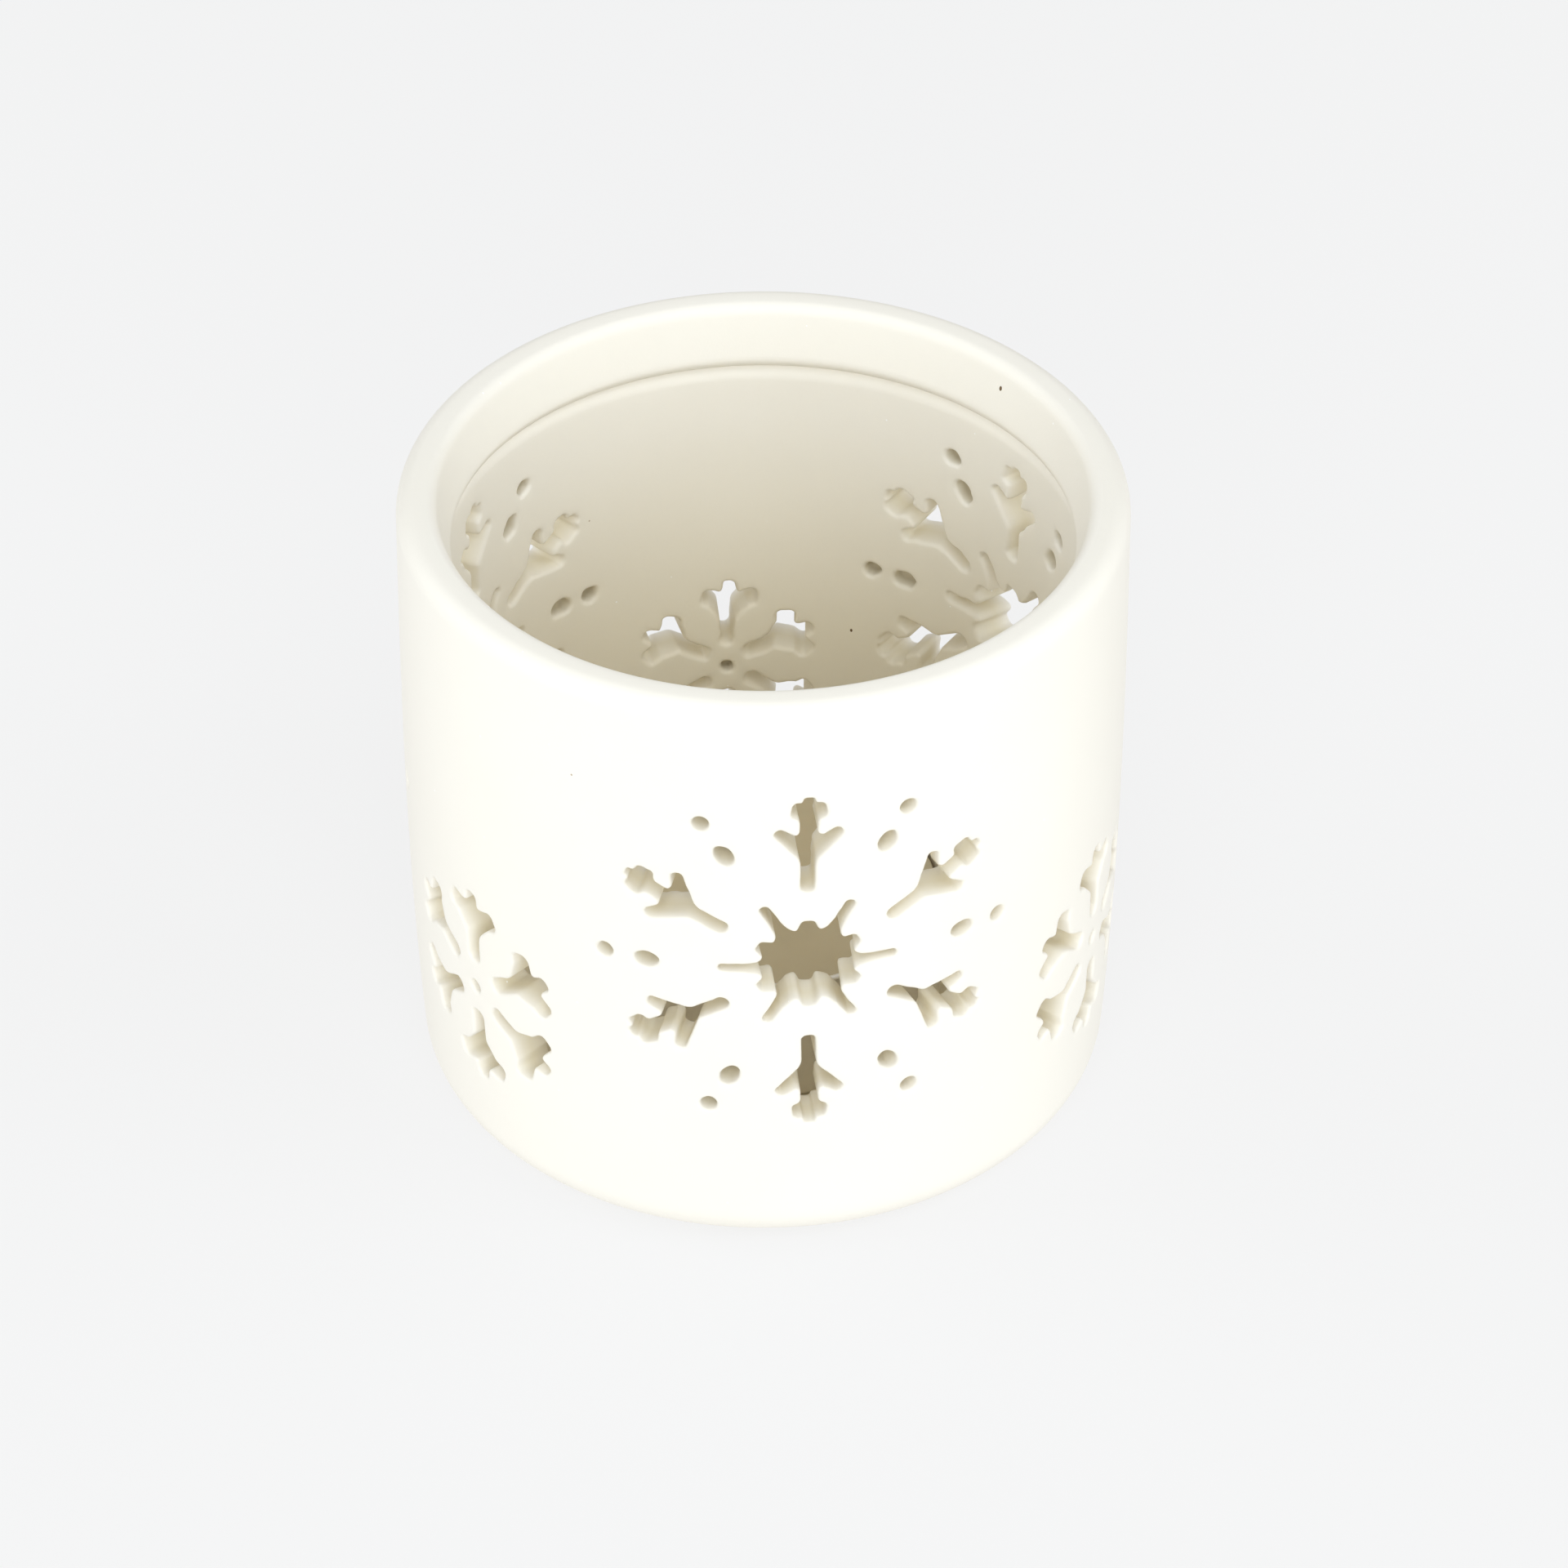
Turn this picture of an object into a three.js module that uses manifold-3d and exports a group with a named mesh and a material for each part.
// Porcelain tealight holder with pierced snowflakes, and the tealight that it holds.
// Millimetres, +Z up. Origin: the middle of the footprint, on the surface that the holder stands on.
// A large snowflake faces -Y, and large and small snowflakes take turns around the wall.
import * as THREE from 'three';
import { mergeVertices } from 'three/addons/utils/BufferGeometryUtils.js';
import Module from 'manifold-3d';

// Driving dimensions of the holder.
const HEIGHT = 70.7;
const WALL = 4.7;
const RIM_RADIUS = 37.5;
const BELLY = 0.6;             // how fast the wall swells below the rim
const TAPER = 2.0;             // how fast it draws in towards the foot
const FOOT_ROUNDING = 4.8;
const FOOT_INNER_RADIUS = 26;
const FOOT_RECESS = 1;
const FLOOR_TOP = 5;
const FLOOR_ROUNDING = 5.8;

// The lip: rounded outside, level on top, sloping down inside to a bead that stands proud of the wall below it.
const LIP_CREST_RADIUS = 35.7;
const LIP_DROP = 2.1;
const LIP_INNER_CREST = 34.5;
const LIP_SHOULDER_RADIUS = 33.2;
const LIP_SHOULDER_HEIGHT = 68.9;
const BEAD_RADIUS = 32.05;
const BEAD_HEIGHT = 64.8;
const BEAD_UNDERCUT = 1;

// Snowflakes: three large ones and, halfway between them, three small ones set lower.
const FLAKE_PAIRS = 3;
const ARMS = 6;
const LARGE_HEIGHT = 38.2;
const SMALL_HEIGHT = 23.8;
const OUTER_DOT = { radius: 0.88, distance: 21.1 };
const INNER_DOT = { halfWidth: 0.92, halfLength: 1.3, distance: 16.6 };
const CENTRE_DOT_RADIUS = 0.75;
const LARGE_ARM_MIDDLE = 15.5;
const SMALL_ARM_MIDDLE = 8;
const CUT_START = 27;
const CUT_DEPTH = 13;

// The tealight: a foil cup, a puck of wax, and a wick crimped in a tab.
const CUP_RADIUS = 19;
const CUP_FLARE = 0.25;
const CUP_HEIGHT = 16;
const CUP_WALL = 0.4;
const CUP_LIP = 0.5;
const WAX_RADIUS = 18.2;
const WAX_HEIGHT = 12.6;
const TAB_RADIUS = 6;
const TAB_THICKNESS = 0.4;
const COLLAR_RADIUS = 1.5;
const COLLAR_HEIGHT = 3;
const WICK_RADIUS = 0.75;
const WICK_LENGTH = 19;
const FIT = 0.3;               // the room left between pieces that touch

// How finely round shapes are divided.
const BODY_SEGMENTS = 36;
const CUP_SEGMENTS = 48;
const WICK_SEGMENTS = 12;
const ARC_STEPS = 2;
const FLAKE_STEPS = 1;

const FULL_TURN = Math.PI * 2;
const QUARTER = Math.PI / 2;
const degrees = THREE.MathUtils.degToRad;

const wasm = await Module();
wasm.setup();

// ---------------------------------------------------------------- solids

// Joins shared corners and drops the slivers that a lathe leaves on its axis.
function closed(geometry) {
  const bare = geometry.clone();
  bare.deleteAttribute('normal');
  bare.deleteAttribute('uv');
  const merged = mergeVertices(bare);
  const corners = [];
  for (let i = 0; i < merged.index.count; i += 3) {
    const triangle = [0, 1, 2].map((k) => merged.index.getX(i + k));
    if (new Set(triangle).size === 3) corners.push(...triangle);
  }
  merged.setIndex(corners);
  return merged;
}

function toSolid(geometry) {
  const merged = closed(geometry);
  return new wasm.Manifold(new wasm.Mesh({
    numProp: 3,
    vertProperties: new Float32Array(merged.attributes.position.array),
    triVerts: new Uint32Array(merged.index.array),
  }));
}

function toGeometry(solid) {
  const mesh = solid.getMesh();
  const geometry = new THREE.BufferGeometry();
  geometry.setAttribute('position', new THREE.BufferAttribute(mesh.vertProperties, 3));
  geometry.setIndex(new THREE.BufferAttribute(mesh.triVerts, 1));
  geometry.computeVertexNormals();
  return geometry;
}

// A profile of radius against height, turned about +Z.
function turned(points, segments) {
  return closed(new THREE.LatheGeometry(points, segments).rotateX(QUARTER));
}

function piece(name, geometry, material) {
  const mesh = new THREE.Mesh(geometry, new THREE.MeshStandardMaterial(material));
  mesh.name = name;
  return mesh;
}

// ---------------------------------------------------------------- the holder's shell

// Outer radius of the wall: widest a third of the way down, a little narrower at the foot.
function outerRadius(z) {
  const depth = (HEIGHT - z) / HEIGHT;
  return RIM_RADIUS + BELLY * depth - TAPER * depth ** 3;
}

function wallPoints(path, heights, inset) {
  for (const z of heights) path.lineTo(outerRadius(z) - inset, z);
}

function shellProfile() {
  const footRadius = outerRadius(FOOT_ROUNDING) - FOOT_ROUNDING;
  const innerFoot = outerRadius(FLOOR_TOP + FLOOR_ROUNDING) - WALL - FLOOR_ROUNDING;
  const lipBase = HEIGHT - LIP_DROP;
  const path = new THREE.Path();
  path.moveTo(0, FOOT_RECESS);
  path.lineTo(FOOT_INNER_RADIUS - FOOT_RECESS, FOOT_RECESS);
  path.lineTo(FOOT_INNER_RADIUS, 0);
  path.absarc(footRadius, FOOT_ROUNDING, FOOT_ROUNDING, -QUARTER, 0, false);
  wallPoints(path, [12, 48], 0);
  path.absellipse(LIP_CREST_RADIUS, lipBase, RIM_RADIUS - LIP_CREST_RADIUS, LIP_DROP, 0, QUARTER, false, 0);
  path.absellipse(LIP_INNER_CREST, LIP_SHOULDER_HEIGHT, LIP_INNER_CREST - LIP_SHOULDER_RADIUS,
    HEIGHT - LIP_SHOULDER_HEIGHT, QUARTER, Math.PI, false, 0);
  path.lineTo(BEAD_RADIUS, BEAD_HEIGHT);
  path.lineTo(outerRadius(BEAD_HEIGHT) - WALL, BEAD_HEIGHT - BEAD_UNDERCUT);
  wallPoints(path, [48], WALL);
  path.absarc(innerFoot, FLOOR_TOP + FLOOR_ROUNDING, FLOOR_ROUNDING, 0, -QUARTER, true);
  path.lineTo(0, FLOOR_TOP);
  return path.getPoints(ARC_STEPS);
}

// ---------------------------------------------------------------- snowflake openings

// Each shape is drawn about its own middle, with +Y pointing away from the snowflake's centre.

// Completes a shape from its right half, given from the inner end to the outer end.
function mirrored(half) {
  const left = half.slice(1, -1).reverse().map((p) => new THREE.Vector2(-p.x, p.y));
  return new THREE.Shape([...half, ...left]);
}

// Six thin spikes, with a small round bump between each pair.
function starShape() {
  const half = [[9, 0], [8.4, 3.8], [6.2, 6.5], [4.75, 14], [5.3, 24]];
  const bump = [5.6, 30];
  const sector = [...half, bump, ...half.slice(1).reverse().map(([r, a]) => [r, 60 - a])];
  const points = [];
  for (let k = 0; k < ARMS; k += 1) {
    for (const [radius, angle] of sector) {
      const turn = degrees(angle + 60 * k);
      points.push(new THREE.Vector2(radius * Math.cos(turn), radius * Math.sin(turn)));
    }
  }
  return new THREE.Shape(points);
}

// A stem with a pair of twigs, then a neck and a three-lobed head.
function largeArmShape() {
  const path = new THREE.Path();
  path.absarc(0, -5.15, 0.75, -QUARTER, 0, false);
  path.lineTo(0.75, -2.1);
  path.absarc(2.95, 1.35, 0.5, degrees(-35), degrees(110), false);
  path.lineTo(0.9, 1.1);
  path.lineTo(0.9, 3);
  path.absarc(1.1, 4.5, 0.65, degrees(-50), degrees(75), false);
  path.lineTo(0.6, 5.5);
  path.lineTo(0, 6);
  return mirrored(path.getPoints(FLAKE_STEPS));
}

// A stem that widens into two side lobes and a middle one.
function smallArmShape() {
  const path = new THREE.Path();
  path.absarc(0, -3.6, 0.9, -QUARTER, 0, false);
  path.lineTo(0.9, -1.1);
  path.lineTo(2.3, 0.8);
  path.absarc(2.85, 2.5, 0.75, degrees(-35), degrees(95), false);
  path.lineTo(1.5, 3.1);
  path.absarc(0, 3.8, 0.8, degrees(10), QUARTER, false);
  return mirrored(path.getPoints(FLAKE_STEPS));
}

function dotShape(halfWidth, halfLength, sides) {
  const points = [];
  for (let k = 0; k < sides; k += 1) {
    const turn = (FULL_TURN * k) / sides;
    points.push(new THREE.Vector2(halfWidth * Math.sin(turn), -halfLength * Math.cos(turn)));
  }
  return new THREE.Shape(points);
}

// One straight cut through the wall towards the holder's axis, at a place on a snowflake.
function cutter(shape, flake, angle, distance) {
  const cut = new THREE.ExtrudeGeometry(shape, {
    depth: CUT_DEPTH,
    bevelEnabled: false,
    curveSegments: FLAKE_STEPS,
  });
  cut.rotateZ(angle - QUARTER);
  cut.translate(0, flake.height + distance * Math.sin(angle), CUT_START);
  cut.rotateX(QUARTER);
  cut.rotateZ(flake.azimuth + (distance * Math.cos(angle)) / RIM_RADIUS);
  return toSolid(cut);
}

function largeFlake(flake) {
  const cuts = [cutter(starShape(), flake, QUARTER, 0)];
  for (let k = 0; k < ARMS; k += 1) {
    const between = degrees(60 * k);
    const { radius, distance } = OUTER_DOT;
    const { halfWidth, halfLength } = INNER_DOT;
    cuts.push(cutter(largeArmShape(), flake, between + degrees(30), LARGE_ARM_MIDDLE));
    cuts.push(cutter(dotShape(radius, radius, 6), flake, between, distance));
    cuts.push(cutter(dotShape(halfWidth, halfLength, 6), flake, between, INNER_DOT.distance));
  }
  return cuts;
}

function smallFlake(flake) {
  const cuts = [cutter(dotShape(CENTRE_DOT_RADIUS, CENTRE_DOT_RADIUS, 6), flake, QUARTER, 0)];
  for (let k = 0; k < ARMS; k += 1) {
    cuts.push(cutter(smallArmShape(), flake, degrees(60 * k + 30), SMALL_ARM_MIDDLE));
  }
  return cuts;
}

function porcelainBody() {
  let body = toSolid(turned(shellProfile(), BODY_SEGMENTS));
  for (let pair = 0; pair < FLAKE_PAIRS; pair += 1) {
    const azimuth = (FULL_TURN * pair) / FLAKE_PAIRS;
    const half = Math.PI / FLAKE_PAIRS;
    const cuts = [
      ...largeFlake({ azimuth, height: LARGE_HEIGHT }),
      ...smallFlake({ azimuth: azimuth + half, height: SMALL_HEIGHT }),
    ];
    for (const cut of cuts) body = body.subtract(cut);
  }
  return toGeometry(body);
}

// ---------------------------------------------------------------- the tealight

const CUP_BOTTOM = FLOOR_TOP + FIT;
const TAB_BOTTOM = CUP_BOTTOM + CUP_WALL + FIT;
const WAX_BOTTOM = TAB_BOTTOM;

function vectors(pairs) {
  return pairs.map(([r, z]) => new THREE.Vector2(r, z));
}

// An open foil cup with a small turned-out lip.
function cupGeometry() {
  const top = CUP_BOTTOM + CUP_HEIGHT;
  const wide = CUP_RADIUS + CUP_FLARE;
  return turned(vectors([
    [0, CUP_BOTTOM],
    [CUP_RADIUS - 0.6, CUP_BOTTOM],
    [CUP_RADIUS, CUP_BOTTOM + 0.6],
    [wide, top - CUP_WALL],
    [wide + CUP_LIP, top - CUP_WALL],
    [wide + CUP_LIP, top],
    [wide - CUP_WALL, top],
    [CUP_RADIUS - CUP_WALL, CUP_BOTTOM + CUP_WALL],
    [0, CUP_BOTTOM + CUP_WALL],
  ]), CUP_SEGMENTS);
}

// The puck is hollowed underneath for the tab and its collar, and bored for the wick.
function waxGeometry() {
  const bore = WICK_RADIUS + FIT;
  const collarRoom = COLLAR_RADIUS + FIT;
  const tabRoom = TAB_RADIUS + FIT;
  const tabCeiling = TAB_BOTTOM + TAB_THICKNESS + FIT;
  const collarCeiling = TAB_BOTTOM + COLLAR_HEIGHT + FIT;
  const top = WAX_BOTTOM + WAX_HEIGHT;
  return turned(vectors([
    [tabRoom, WAX_BOTTOM],
    [WAX_RADIUS - 0.7, WAX_BOTTOM],
    [WAX_RADIUS, WAX_BOTTOM + 0.7],
    [WAX_RADIUS, top],
    [WAX_RADIUS - 1, top - 0.35],
    [5, top - 0.5],
    [bore + 0.9, top - 0.2],
    [bore, top + 0.1],
    [bore, collarCeiling],
    [collarRoom, collarCeiling],
    [collarRoom, tabCeiling],
    [tabRoom, tabCeiling],
    [tabRoom, WAX_BOTTOM],
  ]), CUP_SEGMENTS);
}

// A round tin tab with a raised collar, bored for the wick.
function tabGeometry() {
  const bore = WICK_RADIUS + FIT;
  const shoulder = TAB_BOTTOM + TAB_THICKNESS;
  return turned(vectors([
    [bore, TAB_BOTTOM],
    [TAB_RADIUS, TAB_BOTTOM],
    [TAB_RADIUS, shoulder],
    [COLLAR_RADIUS, shoulder],
    [COLLAR_RADIUS, TAB_BOTTOM + COLLAR_HEIGHT],
    [bore, TAB_BOTTOM + COLLAR_HEIGHT],
    [bore, TAB_BOTTOM],
  ]), CUP_SEGMENTS / 2);
}

function wickGeometry() {
  const top = TAB_BOTTOM + WICK_LENGTH;
  return turned(vectors([
    [0, TAB_BOTTOM],
    [WICK_RADIUS, TAB_BOTTOM],
    [WICK_RADIUS, top - 0.4],
    [WICK_RADIUS - 0.3, top],
    [0, top],
  ]), WICK_SEGMENTS);
}

// ---------------------------------------------------------------- the whole object

const holder = new THREE.Group();
holder.add(
  piece('porcelain_body', porcelainBody(), { color: '#f6f2e9', roughness: 0.75, metalness: 0 }),
  piece('tealight_cup', cupGeometry(), { color: '#c9c8c4', roughness: 0.35, metalness: 1 }),
  piece('tealight_wax', waxGeometry(), { color: '#ece3cc', roughness: 0.5, metalness: 0 }),
  piece('wick_tab', tabGeometry(), { color: '#b9b6ae', roughness: 0.4, metalness: 1 }),
  piece('tealight_wick', wickGeometry(), { color: '#efe9da', roughness: 0.9, metalness: 0 }),
);

export default holder;
